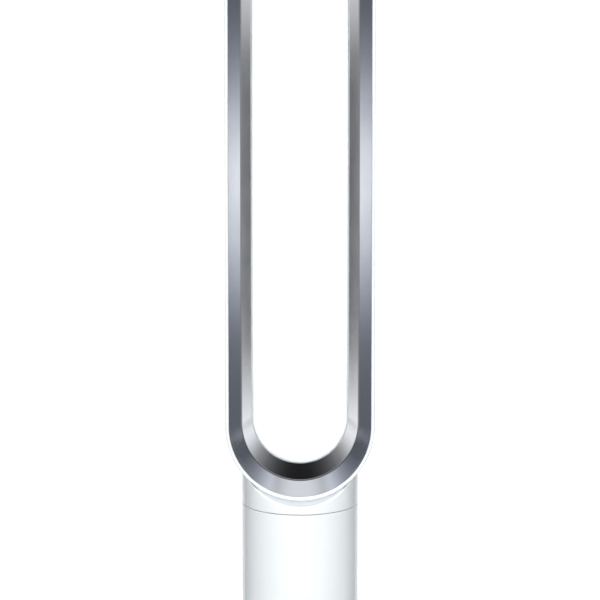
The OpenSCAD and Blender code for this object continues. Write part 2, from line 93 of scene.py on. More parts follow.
def material(name):
    """A new node material: its tree, its shader and its output are returned."""
    mat = bpy.data.materials.new(name)
    mat.use_nodes = True
    mat.node_tree.nodes.clear()
    shader = add(mat.node_tree, "ShaderNodeBsdfPrincipled")
    add(mat.node_tree, "ShaderNodeOutputMaterial", None, {"Surface": shader.outputs[0]})
    return mat, mat.node_tree, shader


world = bpy.data.worlds.new("studio_tent")
bpy.context.scene.world = world
world.use_nodes = True
tent = world.node_tree
tent.nodes.clear()
ray = add(tent, "ShaderNodeLightPath")
where = add(tent, "ShaderNodeTexCoord")
axis = add(tent, "ShaderNodeSeparateXYZ", None, {0: where.outputs["Generated"]})
side = add(tent, "ShaderNodeMath", {"operation": "ABSOLUTE"}, {0: axis.outputs[0]})
azimuth = add(tent, "ShaderNodeMath", {"operation": "ARCTAN2"},
              {0: side.outputs[0], 1: axis.outputs[1]})
height = add(tent, "ShaderNodeMath", {"operation": "ARCSINE"}, {0: axis.outputs[2]})


card_bottom, card_top = -30, 90
faintest_blue = 0.03


def tent_card(chill, stops):
    """A card's colour up the tent, from (degrees, grey) stops; chill makes its darks bluer."""
    unit = add(tent, "ShaderNodeMapRange", None,
               {0: height.outputs[0], 1: math.radians(card_bottom), 2: math.radians(card_top)})
    curve = add(tent, "ShaderNodeValToRGB", None, {0: unit.outputs[0]})
    while len(curve.color_ramp.elements) < len(stops):
        curve.color_ramp.elements.new(0.5)
    for element, (angle, grey) in zip(curve.color_ramp.elements, stops):
        element.position = (angle - card_bottom) / (card_top - card_bottom)
        cool = faintest_blue + chill * (1 - grey)
        element.color = (grey, grey * (1 + 0.3 * cool), grey * (1 + cool), 1)
    return curve.outputs[0]


# The outer cards are what the front ring mirrors, the inner cards what the inner casing mirrors.
# Each has a stretch for the straight limbs and one, further round, for the half-round ends.
ring_chill, casing_chill = 0.24, 0.01
outer_upper = [
    (16, .09), (20.8, .12), (25.5, .15), (30.2, .21), (34.8, .27), (39.4, .38), (43.7, .5),
    (47.8, .62), (52, .74), (60, .9), (90, .9)]
outer_limb = tent_card(ring_chill, [
    (-30, .1), (-12, .1), (-8, .11), (-5.6, .16), (-3.9, .29), (-2.1, .5), (-.3, .74), (2, .9),
    (3.4, .82), (5.3, .55), (7.5, .27), (9.8, .12), (12.2, .08)] + outer_upper)
outer_end = tent_card(ring_chill, [
    (-30, .1), (-12, .11), (-8, .1), (-4, .065), (3.4, .05), (7, .07), (11.5, .09)] + outer_upper)
inner_upper = [
    (18.7, .13), (21.5, .11), (24.2, .075), (26.6, .05), (28.7, .036), (30.4, .025), (32, .012),
    (41, .01), (45, .10), (50, .42), (58, .68), (90, .72)]
inner_limb = tent_card(casing_chill, [
    (-30, .9), (-11.6, .88), (-9.4, .73), (-7.6, .4), (-6, .16), (-4.4, .08), (0, .07),
    (6.3, .095), (8, .17), (9.8, .43), (11.4, .62), (13, .62), (16, .3)] + inner_upper)
inner_end = tent_card(casing_chill, [
    (-30, .9), (-5, .84), (-1.8, .82), (.4, .76), (3.3, .65), (6.3, .52), (9.4, .39), (12.6, .27),
    (15.6, .18)] + inner_upper)
front_grey = (.36, .37, .375, 1)
mirror_gain = (1.4, 1.4, 1.4, 1)
ambient = (.04, .042, .044, 1)
seen_white = (1.2, 1.2, 1.2, 1)


def card_join(near, far, start, end):
    """Goes from one card to the next between two angles round the tent, counted from behind."""
    share = add(tent, "ShaderNodeMapRange", {"interpolation_type": "SMOOTHSTEP"},
                {0: azimuth.outputs[0], 1: math.radians(start), 2: math.radians(end)})
    joined_cards = add(tent, "ShaderNodeMixRGB", None, {0: share.outputs[0], 1: near, 2: far})
    return joined_cards.outputs[0]


outer_card = card_join(outer_limb, outer_end, 50.7, 51.5)
inner_card = card_join(inner_limb, inner_end, 24.4, 25.7)
around = card_join(card_join(inner_card, outer_card, 33, 42), front_grey, 66, 84)
mirrored = add(tent, "ShaderNodeMixRGB", {"blend_type": "MULTIPLY"},
               {0: 1.0, 1: around, 2: mirror_gain})
lit_by = add(tent, "ShaderNodeMixRGB", None,
             {0: ray.outputs["Is Glossy Ray"], 1: ambient, 2: mirrored.outputs[0]})
plain = add(tent, "ShaderNodeMixRGB", None,
            {0: ray.outputs["Is Camera Ray"], 1: lit_by.outputs[0], 2: seen_white})
light = add(tent, "ShaderNodeBackground", None, {0: plain.outputs[0], 1: 1.0})
add(tent, "ShaderNodeOutputWorld", None, {0: light.outputs[0]})

floor_mesh = bpy.data.meshes.new("floor")
floor_half = 3.0
floor_corners = [(-floor_half, -floor_half, 0), (floor_half, -floor_half, 0),
                 (floor_half, floor_half, 0), (-floor_half, floor_half, 0)]
floor_mesh.from_pydata(floor_corners, [], [(0, 1, 2, 3)])
floor = bpy.data.objects.new("floor", floor_mesh)
bpy.context.scene.collection.objects.link(floor)
floor_paint, floor_tree, floor_shader = material("matt_white_floor_paint")
floor_shader.inputs["Base Color"].default_value = srgb("#8C8C8C")
floor_shader.inputs["Roughness"].default_value = 0.8
floor_glow = 0.88
floor_shader.inputs["Emission Color"].default_value = srgb("#FFFFFF")
glow = add(floor_tree, "ShaderNodeLightPath")
lit = add(floor_tree, "ShaderNodeMath", {"operation": "MULTIPLY"},
          {0: glow.outputs["Is Camera Ray"], 1: floor_glow})
floor_tree.links.new(lit.outputs[0], floor_shader.inputs["Emission Strength"])
floor_mesh.materials.append(floor_paint)
floor.visible_glossy = False


def soft_box(name, place, aim, size, watts):
    """A soft box at a place in metres, aimed at a point and left out of the reflections."""
    lamp = bpy.data.lights.new(name, "AREA")
    lamp.shape = "RECTANGLE"
    lamp.size, lamp.size_y = size
    lamp.energy = watts
    made = bpy.data.objects.new(name, lamp)
    made.location = place
    made.rotation_euler = (Vector(aim) - Vector(place)).to_track_quat("-Z", "Y").to_euler()
    made.visible_glossy = False
    bpy.context.scene.collection.objects.link(made)


lamp_height = 0.9
loop_middle = (0, 0, lamp_height)
tall_box = (0.9, 1.6)
soft_box("key", (0, -3.2, lamp_height), loop_middle, tall_box, 108)
for lamp_name, lamp_x in (("fill_left", -2.4), ("fill_right", 2.4)):
    soft_box(lamp_name, (lamp_x, 2.2, lamp_height), loop_middle, tall_box, 26)
soft_box("overhead", (0, 0, 3.2), (0, 0, 0), (2.0, 2.4), 92)


# ---------------------------------------------------------------------------------------------
# Outer shell of the loop: one moulded white ABS skin from the rounded front rim, back along the
# flank, round the nose and into the throat, where its lip is one side of the air mouth. Spacers
# in the mouth hold it off the inner casing, and it sits in the neck on a gasket.
flow_size = 16.667 * MM
orange_peel_size = 2.222 * MM
orange_peel_depth = 0.4 * MM
abs_ior = 1.53


def white_abs(name, tint="#EFF4F6"):
    """Injection-moulded ABS from a polished tool: a clean cool white with a tight gloss, and
    flow marks and orange peel so faint that they only just bend a reflection."""
    mat, tree, shader = material(name)
    on_piece = add(tree, "ShaderNodeTexCoord").outputs["Object"]
    flow = add(tree, "ShaderNodeTexNoise", None,
               {"Vector": on_piece, "Scale": 1 / flow_size, "Detail": 2.0})
    tone = add(tree, "ShaderNodeMixRGB", {"blend_type": "MULTIPLY"},
               {0: 0.03, 1: srgb(tint), 2: flow.outputs["Color"]})
    peel = add(tree, "ShaderNodeTexNoise", None,
               {"Vector": on_piece, "Scale": 1 / orange_peel_size, "Detail": 1.0})
    gloss = add(tree, "ShaderNodeMapRange", None, {0: peel.outputs[0], 3: 0.17, 4: 0.25})
    bump = add(tree, "ShaderNodeBump", None,
               {"Strength": 0.02, "Distance": orange_peel_depth, "Height": peel.outputs[0]})
    tree.links.new(tone.outputs[0], shader.inputs["Base Color"])
    tree.links.new(gloss.outputs[0], shader.inputs["Roughness"])
    tree.links.new(bump.outputs[0], shader.inputs["Normal"])
    shader.inputs["IOR"].default_value = abs_ior
    return mat


white_gloss = white_abs("moulded_white_abs")


def outline(name, points):
    """A mesh of a section's outline: X is the distance from the middle line, Y is depth."""
    mesh = bpy.data.meshes.new(name)
    edges = [(i, (i + 1) % len(points)) for i in range(len(points))]
    mesh.from_pydata([(x, y, 0) for x, y in points], edges, [])
    made = bpy.data.objects.new(name, mesh)
    bpy.context.scene.collection.objects.link(made)
    return made


def arc(cx, cy, radius, start, end, steps):
    """Points along an arc, angles in degrees."""
    turns = [math.radians(start + (end - start) * i / steps) for i in range(steps + 1)]
    return [(cx + radius * math.cos(a), cy + radius * math.sin(a)) for a in turns]


def socket(tree, name, kind, way="INPUT"):
    """Adds a named input or output to a tree and gives its identifier."""
    return tree.interface.new_socket(name, in_out=way, socket_type=kind).identifier


def bake(made, name, inputs, tree):
    """Runs a Geometry Nodes tree on an object and keeps the result as a plain mesh object."""
    modifier = made.modifiers.new("rule", "NODES")
    modifier.node_group = tree
    for identifier, value in inputs.items():
        modifier[identifier] = value
    bpy.context.view_layer.update()
    depsgraph = bpy.context.evaluated_depsgraph_get()
    mesh = bpy.data.meshes.new_from_object(made.evaluated_get(depsgraph), depsgraph=depsgraph)
    made.modifiers.remove(modifier)
    bpy.data.objects.remove(made)
    mesh.name = name
    result = bpy.data.objects.new(name, mesh)
    bpy.context.scene.collection.objects.link(result)
    return result


# The loop's pieces are all one section carried round a racetrack, so one tree makes them: two
# straight limbs and two half-round ends, with the section's points repeated at every step.
sweep = bpy.data.node_groups.new("racetrack_sweep", "GeometryNodeTree")
sweep_in = {label: socket(sweep, label, kind) for label, kind in [
    ("Section", "NodeSocketGeometry"), ("Section points", "NodeSocketInt"),
    ("Low centre", "NodeSocketFloat"), ("High centre", "NodeSocketFloat"),
    ("Arc steps", "NodeSocketInt"), ("Limb steps", "NodeSocketInt"),
    ("Finish", "NodeSocketMaterial")]}
socket(sweep, "Piece", "NodeSocketGeometry", "OUTPUT")
given = add(sweep, "NodeGroupInput")
sample = add(sweep, "GeometryNodeSampleIndex", {"data_type": "FLOAT_VECTOR"},
             {"Geometry": given.outputs["Section"],
              "Value": add(sweep, "GeometryNodeInputPosition").outputs[0]})
section = add(sweep, "ShaderNodeSeparateXYZ", None, {0: sample.outputs[0]})
known = {
    "points": given.outputs["Section points"], "arc": given.outputs["Arc steps"],
    "limb": given.outputs["Limb steps"], "low": given.outputs["Low centre"],
    "high": given.outputs["High centre"], "out": section.outputs[0],
    "index": add(sweep, "GeometryNodeInputIndex").outputs[0]}
for result, operation, first, second in (
        # How many rows and columns the grid has: one row a step, one column a section point.
        ("half way", "ADD", "arc", "limb"), ("all the way", "MULTIPLY", "half way", 2.0),
        ("rows", "ADD", "all the way", 1.0), ("columns", "ADD", "points", 1.0),
        # Which row and which section point a grid point stands for; the last column closes.
        ("index mid", "ADD", "index", 0.5), ("row place", "DIVIDE", "index mid", "columns"),
        ("along", "FLOOR", "row place", 0.0), ("row start", "MULTIPLY", "along", "columns"),
        ("across", "SUBTRACT", "index", "row start"), ("across mid", "ADD", "across", 0.25),
        ("closed", "MODULO", "across mid", "points"), ("point", "FLOOR", "closed", 0.0),
        # How far it has turned round the two ends, and climbed up one limb or down the other.
        ("first end", "DIVIDE", "along", "arc"), ("on", "SUBTRACT", "along", "half way"),
        ("second end", "DIVIDE", "on", "arc"), ("ends", "ADD", "first end", "second end"),
        ("turn", "MULTIPLY", "ends", math.pi), ("up", "SUBTRACT", "along", "arc"),
        ("up limb", "DIVIDE", "up", "limb"), ("down", "SUBTRACT", "on", "arc"),
        ("down limb", "DIVIDE", "down", "limb"), ("climb", "SUBTRACT", "up limb", "down limb"),
        ("rise", "SUBTRACT", "high", "low"), ("lift", "MULTIPLY", "rise", "climb"),
        ("centre", "ADD", "low", "lift"), ("cosine", "COSINE", "turn", 0.0),
        ("sine", "SINE", "turn", 0.0), ("x", "MULTIPLY", "out", "cosine"),
        ("drop", "MULTIPLY", "out", "sine"), ("z", "SUBTRACT", "centre", "drop")):
    clamped = result in ("first end", "second end", "up limb", "down limb")
    known[result] = add(sweep, "ShaderNodeMath", {"operation": operation, "use_clamp": clamped},
                        {0: known[first], 1: known.get(second, second)}).outputs[0]
sweep.links.new(known["point"], sample.inputs["Index"])
grid = add(sweep, "GeometryNodeMeshGrid", None,
           {"Vertices X": known["rows"], "Vertices Y": known["columns"]})
position = add(sweep, "ShaderNodeCombineXYZ", None,
               {0: known["x"], 1: section.outputs[1], 2: known["z"]})
moved = add(sweep, "GeometryNodeSetPosition", None,
            {"Geometry": grid.outputs[0], "Position": position.outputs[0]})
joined = add(sweep, "GeometryNodeMergeByDistance", None,
             {"Geometry": moved.outputs[0], "Distance": 1e-6})
real = add(sweep, "GeometryNodeRealizeInstances", None, {0: joined.outputs[0]})
finished = add(sweep, "GeometryNodeSetMaterial", None,
               {"Geometry": real.outputs[0], "Material": given.outputs["Finish"]})
add(sweep, "NodeGroupOutput", None, {0: finished.outputs[0]})

loop_low, loop_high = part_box("loop_outer_shell")
loop_r = loop_high.x
low_centre = loop_low.z + loop_r
high_centre = loop_high.z - loop_r


def smooth(made, sharpest=35):
    """Faces outward, smooth shading with edges sharper than the angle kept crisp."""
    shape = bmesh.new()
    shape.from_mesh(made.data)
    bmesh.ops.recalc_face_normals(shape, faces=shape.faces)
    for face in shape.faces:
        face.smooth = True
    for edge in shape.edges:
        edge.smooth = not (edge.is_manifold and edge.calc_face_angle(0) > math.radians(sharpest))
    shape.to_mesh(made.data)
    shape.free()
    return made


end_steps = 96
straight_steps = 6


def loop_piece(name, section_points, finish, node):
    """Sweeps a section round the racetrack, smooths it and sets it on the column."""
    outline_object = outline(name + "_section", section_points)
    values = {"Section points": len(section_points), "Low centre": low_centre,
              "High centre": high_centre, "Arc steps": end_steps, "Limb steps": straight_steps,
              "Finish": finish}
    made = bake(outline_object, name, {sweep_in[k]: v for k, v in values.items()}, sweep)
    smooth(made)
    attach(made, "column")
    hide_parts(node)
    return made


skin = 1.8 * MM
rim = 2.2 * MM
rim_back = 2.4 * MM
y_front = loop_low.y
y_rear = loop_high.y
throat_gap = 1.4 * MM
section_w = 29.2 * MM
throat_r = loop_r - section_w
lip_r = throat_r - throat_gap - skin
nose_r = (loop_r - lip_r) / 2
nose = (loop_r - nose_r, y_rear - nose_r)
lip_len = 0.9 * MM
hold = 0.4 * MM
lip_y = nose[1] - lip_len
rim_centre = (loop_r - rim, y_front + rim)
flank_end = nose[1] - 8 * MM
shell_points = (
    arc(lip_r + skin / 2, lip_y + skin / 2, skin / 2, 360, 180, 6)
    + [(lip_r, lip_y + skin)]
    + arc(*nose, nose_r, 180, 0, 40)
    + [(loop_r, flank_end), (loop_r, rim_centre[1] + hold)]
    + arc(*rim_centre, rim, 0, -180, 14)
    + [(loop_r - 2 * rim, rim_centre[1] + rim_back), (loop_r - skin, rim_centre[1] + rim_back)]
    + [(loop_r - skin, flank_end)]
    + arc(*nose, nose_r - skin, 0, 180, 40)
    + [(lip_r + skin, lip_y + skin)])
loop_piece("loop_shell", shell_points, white_gloss, "loop_outer_shell")


# ---------------------------------------------------------------------------------------------
# Front ring: a moulded ABS skin that tapers in from the white rim to the crease, with a flange
# that snaps in behind the rim. It is lacquered silver, and so is the inner casing behind it.
flake_size = 0.3846 * MM
flake_relief = 0.1 * MM
cloud_size = 40 * MM
silver_roughness = 0.1


def silver_lacquer(name, colour):
    """Aluminium-flake basecoat under a clear coat: it mirrors softly and sparkles a little."""
    mat, tree, shader = material(name)
    on_piece = add(tree, "ShaderNodeTexCoord").outputs["Object"]
    flakes = add(tree, "ShaderNodeTexVoronoi", None, {"Vector": on_piece, "Scale": 1 / flake_size})
    cloud = add(tree, "ShaderNodeTexNoise", None,
                {"Vector": on_piece, "Scale": 1 / cloud_size, "Detail": 3.0})
    tone = add(tree, "ShaderNodeMixRGB", {"blend_type": "MULTIPLY"},
               {0: 0.06, 1: srgb(colour), 2: flakes.outputs["Color"]})
    gloss = add(tree, "ShaderNodeMapRange", None,
                {0: cloud.outputs[0], 3: silver_roughness - 0.02, 4: silver_roughness + 0.03})
    bump = add(tree, "ShaderNodeBump", None,
               {"Strength": 0.05, "Distance": flake_relief, "Height": flakes.outputs["Distance"]})
    tree.links.new(tone.outputs[0], shader.inputs["Base Color"])
    tree.links.new(gloss.outputs[0], shader.inputs["Roughness"])
    tree.links.new(bump.outputs[0], shader.inputs["Normal"])
    shader.inputs["Metallic"].default_value = 1.0
    return mat


crease_r = loop_r - 19.6 * MM
crease_y = y_front + 34 * MM
fit = 0.2 * MM
crease_shadow = 1.3 * MM
ring_in_r = crease_r + crease_shadow
ring_front = (loop_r - 2 * rim - fit, y_front + rim)
ring_slope = (ring_in_r - ring_front[0]) / (crease_y - ring_front[1])
slant = 2.2 * MM
flange_y = rim_centre[1] + rim_back
flange_back = flange_y + skin
ease = 0.25 * MM
ring_points = [
    ring_front,
    (ring_front[0] + ring_slope * ease, ring_front[1] + ease),
    (ring_front[0] + ring_slope * 3 * ease, ring_front[1] + 3 * ease),
    (ring_in_r - ring_slope * 3 * ease, crease_y - 3 * ease),
    (ring_in_r - ring_slope * ease, crease_y - ease),
    (ring_in_r + ease, crease_y),
    (ring_in_r + slant, crease_y),
    (ring_front[0] + ring_slope * (flange_back - ring_front[1]) + slant, flange_back),
    (loop_r - skin - fit, flange_back),
    (loop_r - skin - fit, flange_y),
    (ring_front[0], flange_y)]
ring_silver = silver_lacquer("silver_flake_lacquer", "#D9DBDF")
loop_piece("front_ring", ring_points, ring_silver, "loop_front_ring")


# ---------------------------------------------------------------------------------------------
# Inner casing: the silver band that the air follows, from the crease back to a rounded bead at
# the mouth. A tongue behind the crease carries the front ring's rear edge.
groove = 0.8 * MM
edge_step = 0.3 * MM
bead_r = 3 * MM
mouth_close = 1.15 * MM
edge = Vector((crease_r - edge_step, crease_y + groove))
bead = Vector((throat_r - mouth_close + bead_r, nose[1] - 2 * MM))
to_edge = edge - bead
touch_angle = math.degrees(math.atan2(to_edge.y, to_edge.x) - math.acos(bead_r / to_edge.length))
touch = bead + bead_r * Vector((math.cos(math.radians(touch_angle)),
                                math.sin(math.radians(touch_angle))))
down = (touch - edge).normalized()
tongue_out = crease_r + 4.2 * MM
tongue_end = crease_y + 4.8 * MM
tongue_in = ring_in_r + 1 * MM
pocket_end = crease_y + 3.6 * MM
edge_back = edge.x + 0.7 * MM
casing_points = (
    [(edge.x + edge_step, edge.y), tuple(edge + down * ease), tuple(edge + down * 4 * ease),
     tuple(touch - down * 2 * ease)]
    + arc(*bead, bead_r, touch_angle, touch_angle - 12, 6)
    + arc(*bead, bead_r, touch_angle - 20, touch_angle - 200, 18)
    + [(touch.x + skin + 0.9 * MM, touch.y - bead_r), (edge.x + skin + edge_step, edge.y + 6 * MM),
       (tongue_out, tongue_end), (tongue_out, crease_y), (tongue_in, crease_y),
       (tongue_in, pocket_end), (edge_back, pocket_end), (edge_back, edge.y + ease)])
casing_silver = silver_lacquer("silver_flake_lacquer_inner", "#D5D6DA")
inner = loop_piece("inner_casing", casing_points, casing_silver,
                   "loop_inner_casing")

# Behind the crease, the casing's faces in the groove are painted charcoal: painted shade that
# darkens the groove.
groove_shade_grain_size = 1.111 * MM
painted_shade_depth = 8 * MM
groove_shade_paint, groove_shade_tree, groove_shade_shader = material("groove_painted_shade_charcoal")
groove_shade_grain = add(groove_shade_tree, "ShaderNodeTexNoise", None,
                 {"Vector": add(groove_shade_tree, "ShaderNodeTexCoord").outputs["Object"],
                  "Scale": 1 / groove_shade_grain_size, "Detail": 2.0})
groove_shade_tone = add(groove_shade_tree, "ShaderNodeMixRGB", None,
                {0: groove_shade_grain.outputs[0], 1: srgb("#1C1C1F"), 2: srgb("#2A2A2E")})
groove_shade_tree.links.new(groove_shade_tone.outputs[0], groove_shade_shader.inputs["Base Color"])
groove_shade_shader.inputs["Roughness"].default_value = 0.7
inner.data.materials.append(groove_shade_paint)
# Faces out past the edge and less than the groove depth behind the crease take the painted shade.
for face in inner.data.polygons:
    past_centre = face.center.z - min(max(face.center.z, low_centre), high_centre)
    section_out = math.hypot(face.center.x, past_centre)
    if section_out > edge.x + 0.35 * MM and face.center.y < crease_y + painted_shade_depth:
        face.material_index = 1


# ---------------------------------------------------------------------------------------------
# Neck: a white ABS moulding, round below and scooped above to carry the loop, with a soft
# radius where the scoop meets the outside wall.
shell_low, shell_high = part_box("body_shell")
column_r = shell_high.x
seam_gap = 0.8 * MM
neck_z = shell_high.z + seam_gap
gasket_t = 1.8 * MM
saddle_r = loop_r + gasket_t
neck_wall = 2.5 * MM
front_radius = 3.5 * MM
tip_radius = 0.8 * MM
chamfer = 0.6 * MM
radius_steps, saddle_steps = 10, 12


def saddle_height(x, radius=saddle_r):
    """The scoop's height above the floor at a distance from the middle."""
    return low_centre - math.sqrt(max(radius ** 2 - x ** 2, 0))


def neck_ring(angle):
    """The neck's outline at one angle, from its inner foot over the top to its middle."""
    sx, sy = math.sin(angle), -math.cos(angle)
    soft = tip_radius + (front_radius - tip_radius) * abs(sy) ** 1.5
    line = [(column_r - neck_wall, neck_z), (column_r - chamfer, neck_z)]
    line += [(column_r - chamfer + chamfer * math.sin(a), neck_z + chamfer - chamfer * math.cos(a))
             for a in (math.radians(30), math.radians(60), math.radians(90))]
    line.append((column_r, neck_z + 2 * chamfer))
    for r, rise in arc(column_r - soft, -soft, soft, 0, 90, radius_steps):
        line.append((r, saddle_height(r * sx) + rise))
    for i in range(1, saddle_steps + 1):
        r = (column_r - soft) * (1 - i / saddle_steps)
        line.append((r, saddle_height(r * sx)))
    return [(r * sx, r * sy, z) for r, z in line]


# The outlines all round share one point at the crown; underneath, four rings close the bottom.
turns = 192
verts, faces = [], []
rings = [neck_ring(2 * math.pi * i / turns) for i in range(turns)]
rows = len(rings[0]) - 1
for ring in rings:
    verts += ring[:-1]
crown_point = len(verts)
verts.append(rings[0][-1])
for i in range(turns):
    a, b = i * rows, (i + 1) % turns * rows
    faces += [(a + k, b + k, b + k + 1, a + k + 1) for k in range(rows - 1)]
    faces.append((a + rows - 1, b + rows - 1, crown_point))
under = len(verts)
under_parts = (1.0, 0.75, 0.5, 0.25)
under_count = len(under_parts)
for i in range(turns):
    angle = 2 * math.pi * i / turns
    for part in under_parts:
        r = (column_r - neck_wall) * part
        x = r * math.sin(angle)
        verts.append((x, -r * math.cos(angle), saddle_height(x, saddle_r + neck_wall)))
under_point = len(verts)
verts.append((0, 0, saddle_height(0, saddle_r + neck_wall)))
for i in range(turns):
    a, b = i * rows, (i + 1) % turns * rows
    c, d = under + i * under_count, under + (i + 1) % turns * under_count
    faces.append((a, c, d, b))
    faces += [(c + k, c + k + 1, d + k + 1, d + k) for k in range(under_count - 1)]
    faces.append((c + under_count - 1, under_point, d + under_count - 1))
neck_mesh = bpy.data.meshes.new("neck_moulding")
neck_mesh.from_pydata(verts, [], faces)
neck = bpy.data.objects.new("neck_moulding", neck_mesh)
bpy.context.scene.collection.objects.link(neck)
smooth(neck, 40)
neck_mesh.materials.append(white_gloss)
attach(neck, "column")
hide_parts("neck")


# ---------------------------------------------------------------------------------------------
# Body shell: a plain white ABS tube, polished, with a small radius at each end that draws the
# fine seam lines above and below it.
def lathe(name, line, finish, segments=192, sharpest=35):
    """Turns a closed outline of (radius, height) points round the column's axis."""
    mesh = bpy.data.meshes.new(name)
    count = len(line)
    turned = [(r * math.sin(a), -r * math.cos(a), z)
              for a in (2 * math.pi * i / segments for i in range(segments)) for r, z in line]
    quads = [(i * count + k, i * count + (k + 1) % count,
              (i + 1) % segments * count + (k + 1) % count, (i + 1) % segments * count + k)
             for i in range(segments) for k in range(count)]
    mesh.from_pydata(turned, [], quads)
    made = bpy.data.objects.new(name, mesh)
    bpy.context.scene.collection.objects.link(made)
    smooth(made, sharpest)
    mesh.materials.append(finish)
    return made


def tube_line(inner, outer, z0, z1, low_edge, high_edge):
    """The section of a tube with a rounded outer edge at each end."""
    line = [(inner, z0), (outer - low_edge, z0)]
    line += arc(outer - low_edge, z0 + low_edge, low_edge, -60, 0, 3)
    line += [(outer, z0 + 3 * low_edge), (outer, z1 - 3 * high_edge)]
    line += arc(outer - high_edge, z1 - high_edge, high_edge, 0, 60, 3)
    return line + [(outer - high_edge, z1), (inner, z1)]


shell_line = tube_line(column_r - neck_wall, column_r, shell_low.z, shell_high.z,
                       0.4 * MM, 0.6 * MM)
shell = lathe("body_tube", shell_line, white_gloss)
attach(shell, "column")
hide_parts("body_shell")


# ---------------------------------------------------------------------------------------------
# Inlet grille: a white ABS ring pierced all round with small round holes in staggered rows,
# between plain bands. One upright strip of holes is repeated round the ring by rule.
grille_low, grille_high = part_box("inlet_grille")
grille_wall = 1.6 * MM
grille_columns = 128
pitch = 2 * math.pi * column_r / grille_columns
hole_r = 1.3 * MM
band = 3 * MM
pierced_h = grille_high.z - grille_low.z - 2 * band
row_count = round(pierced_h / pitch)
row_h = pierced_h / row_count
round_edge = 0.4 * MM

strip = bmesh.new()


def strip_face(points_xz, out):
    """One face of the strip: the front ones face outward, the back ones inward."""
    ring = [strip.verts.new((x, out, z)) for x, z in points_xz]
    strip.faces.new(ring if out == 0 else ring[::-1])


def hole_cell(cx, cz, first, last):
    """A cell round a hole, from the first to the last of its eight sides, front, back and bore."""
    corner = [(0.5, 0), (0.5, 0.5), (0, 0.5), (-0.5, 0.5),
              (-0.5, 0), (-0.5, -0.5), (0, -0.5), (0.5, -0.5)]
    for k in range(first, last):
        near = [(cx + corner[j % 8][0] * pitch, cz + corner[j % 8][1] * row_h)
                for j in (k, k + 1)]
        bore = [(cx + hole_r * math.cos(a), cz + hole_r * math.sin(a))
                for a in (math.radians(45 * k + 22.5 * j) for j in (2, 1, 0))]
        strip_face(near + bore, 0)
        strip_face(near + bore, -grille_wall)
        for p, q in zip(bore, bore[1:]):
            strip.faces.new([strip.verts.new((x, y, z)) for (x, z), y in
                             ((p, 0), (p, -grille_wall), (q, -grille_wall), (q, 0))])


# Every other row is half a pitch along, so there the strip holds two half cells.
for row in range(row_count):
    cz = grille_low.z + band + (row + 0.5) * row_h
    if row % 2:
        hole_cell(0, cz, 0, 2)
        hole_cell(0, cz, 6, 8)
        hole_cell(pitch, cz, 2, 6)
    else:
        hole_cell(pitch / 2, cz, 0, 8)
# The plain bands above and below the holes, with their rounded ends and inner faces.
for z, inward in ((grille_low.z, 1), (grille_high.z, -1)):
    side_line = [(0, z + inward * band), (0, z + inward * 3 * round_edge),
                 (0, z + inward * round_edge), (-0.3 * round_edge, z + inward * 0.3 * round_edge),
                 (-round_edge, z), (-grille_wall, z), (-grille_wall, z + inward * band)]
    for (o0, z0), (o1, z1) in zip(side_line, side_line[1:]):
        for half in (0, 1):
            x0, x1 = half * pitch / 2, (half + 1) * pitch / 2
            corners = [(x0, o0, z0), (x1, o0, z0), (x1, o1, z1), (x0, o1, z1)]
            strip.faces.new([strip.verts.new(c) for c in corners[::-inward]])
bmesh.ops.remove_doubles(strip, verts=strip.verts, dist=1e-6)
strip_mesh = bpy.data.meshes.new("grille_strip")
strip.to_mesh(strip_mesh)
strip.free()
strip_object = bpy.data.objects.new("grille_strip", strip_mesh)
bpy.context.scene.collection.objects.link(strip_object)

wrap = bpy.data.node_groups.new("strip_round_ring", "GeometryNodeTree")
wrap_in = {label: socket(wrap, label, kind) for label, kind in [
    ("Strip", "NodeSocketGeometry"), ("Columns", "NodeSocketInt"), ("Pitch", "NodeSocketFloat"),
    ("Ring radius", "NodeSocketFloat"), ("Finish", "NodeSocketMaterial")]}
socket(wrap, "Ring", "NodeSocketGeometry", "OUTPUT")
asked = add(wrap, "NodeGroupInput")
step = add(wrap, "ShaderNodeCombineXYZ", None, {0: asked.outputs["Pitch"]})
upright_line = add(wrap, "GeometryNodeMeshLine", None,
                   {"Count": asked.outputs["Columns"], "Offset": step.outputs[0]})
copies = add(wrap, "GeometryNodeInstanceOnPoints", None,
             {"Points": upright_line.outputs[0], "Instance": asked.outputs["Strip"]})
flat = add(wrap, "GeometryNodeRealizeInstances", None, {0: copies.outputs[0]})
on_strip = add(wrap, "ShaderNodeSeparateXYZ", None,
               {0: add(wrap, "GeometryNodeInputPosition").outputs[0]})
known = {"x": on_strip.outputs[0], "y": on_strip.outputs[1], "radius": asked.outputs["Ring radius"]}
for result, operation, first, second in (
        ("turn", "DIVIDE", "x", "radius"), ("reach", "ADD", "y", "radius"),
        ("sine", "SINE", "turn", 0.0), ("cosine", "COSINE", "turn", 0.0),
        ("away", "MULTIPLY", "cosine", -1.0), ("ring x", "MULTIPLY", "sine", "reach"),
        ("ring y", "MULTIPLY", "away", "reach")):
    known[result] = add(wrap, "ShaderNodeMath", {"operation": operation},
                        {0: known[first], 1: known.get(second, second)}).outputs[0]
bent = add(wrap, "ShaderNodeCombineXYZ", None,
           {0: known["ring x"], 1: known["ring y"], 2: on_strip.outputs[2]})
curled = add(wrap, "GeometryNodeSetPosition", None,
             {"Geometry": flat.outputs[0], "Position": bent.outputs[0]})
welded = add(wrap, "GeometryNodeMergeByDistance", None,
             {"Geometry": curled.outputs[0], "Distance": 1e-6})
painted = add(wrap, "GeometryNodeSetMaterial", None,
              {"Geometry": welded.outputs[0], "Material": asked.outputs["Finish"]})
add(wrap, "NodeGroupOutput", None, {0: painted.outputs[0]})

values = {"Columns": grille_columns, "Pitch": pitch, "Ring radius": column_r, "Finish": white_gloss}
grille = bake(strip_object, "pierced_grille", {wrap_in[k]: v for k, v in values.items()}, wrap)
smooth(grille)
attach(grille, "column")
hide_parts("inlet_grille")


